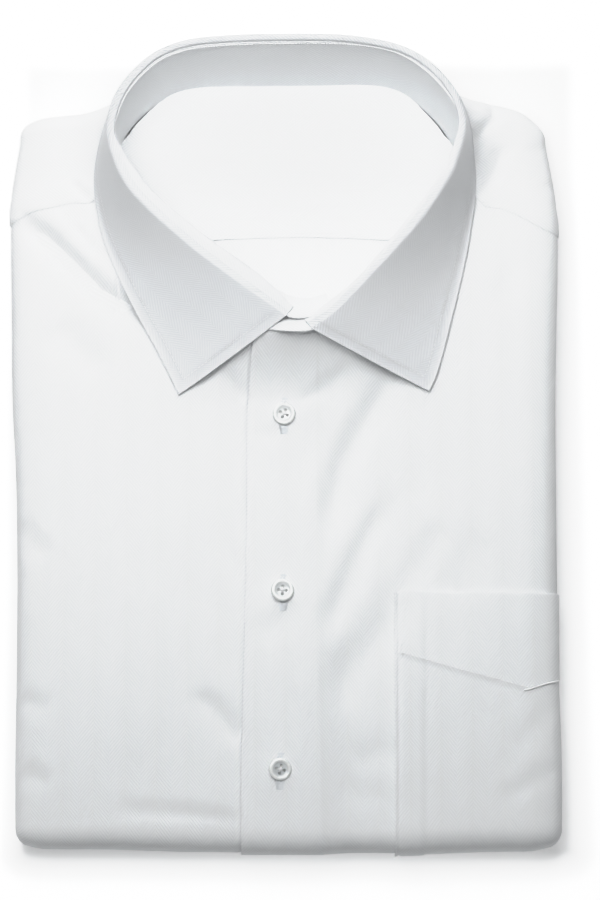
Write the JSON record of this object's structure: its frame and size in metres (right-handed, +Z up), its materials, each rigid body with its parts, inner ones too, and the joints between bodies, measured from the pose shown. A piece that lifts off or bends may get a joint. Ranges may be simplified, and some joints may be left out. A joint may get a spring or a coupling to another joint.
{
  "type": "folded dress shirt",
  "caption": "Long-sleeved dress shirt folded flat for the shelf, collar standing and closed, with a buttoned front and a chest pocket.",
  "frame": {"origin": "middle of the folded shirt's box, on the surface that it lies on", "axes": "+Z up, out of the shirt's front; +Y from the bottom fold to the collar; +X to the right of someone who looks at the front"},
  "size_m": [0.2514, 0.3734, 0.055],
  "materials": {
    "shirting": "white cotton herringbone twill, soft sheen",
    "collar_cloth": "the same cloth over a stiff interlining",
    "button": "pearly white, polished"
  },
  "bodies": {
    "root": {"front_right": "shirting", "front_left": "shirting", "yoke": "shirting", "yoke_inner": "shirting", "back": "shirting", "folded_layers": "shirting", "pocket": "shirting", "collar_stand": "collar_cloth", "collar_leaf": "collar_cloth", "button_1": "button", "button_2": "button", "button_3": "button", "collar_button": "button"}
  },
  "joints": []
}
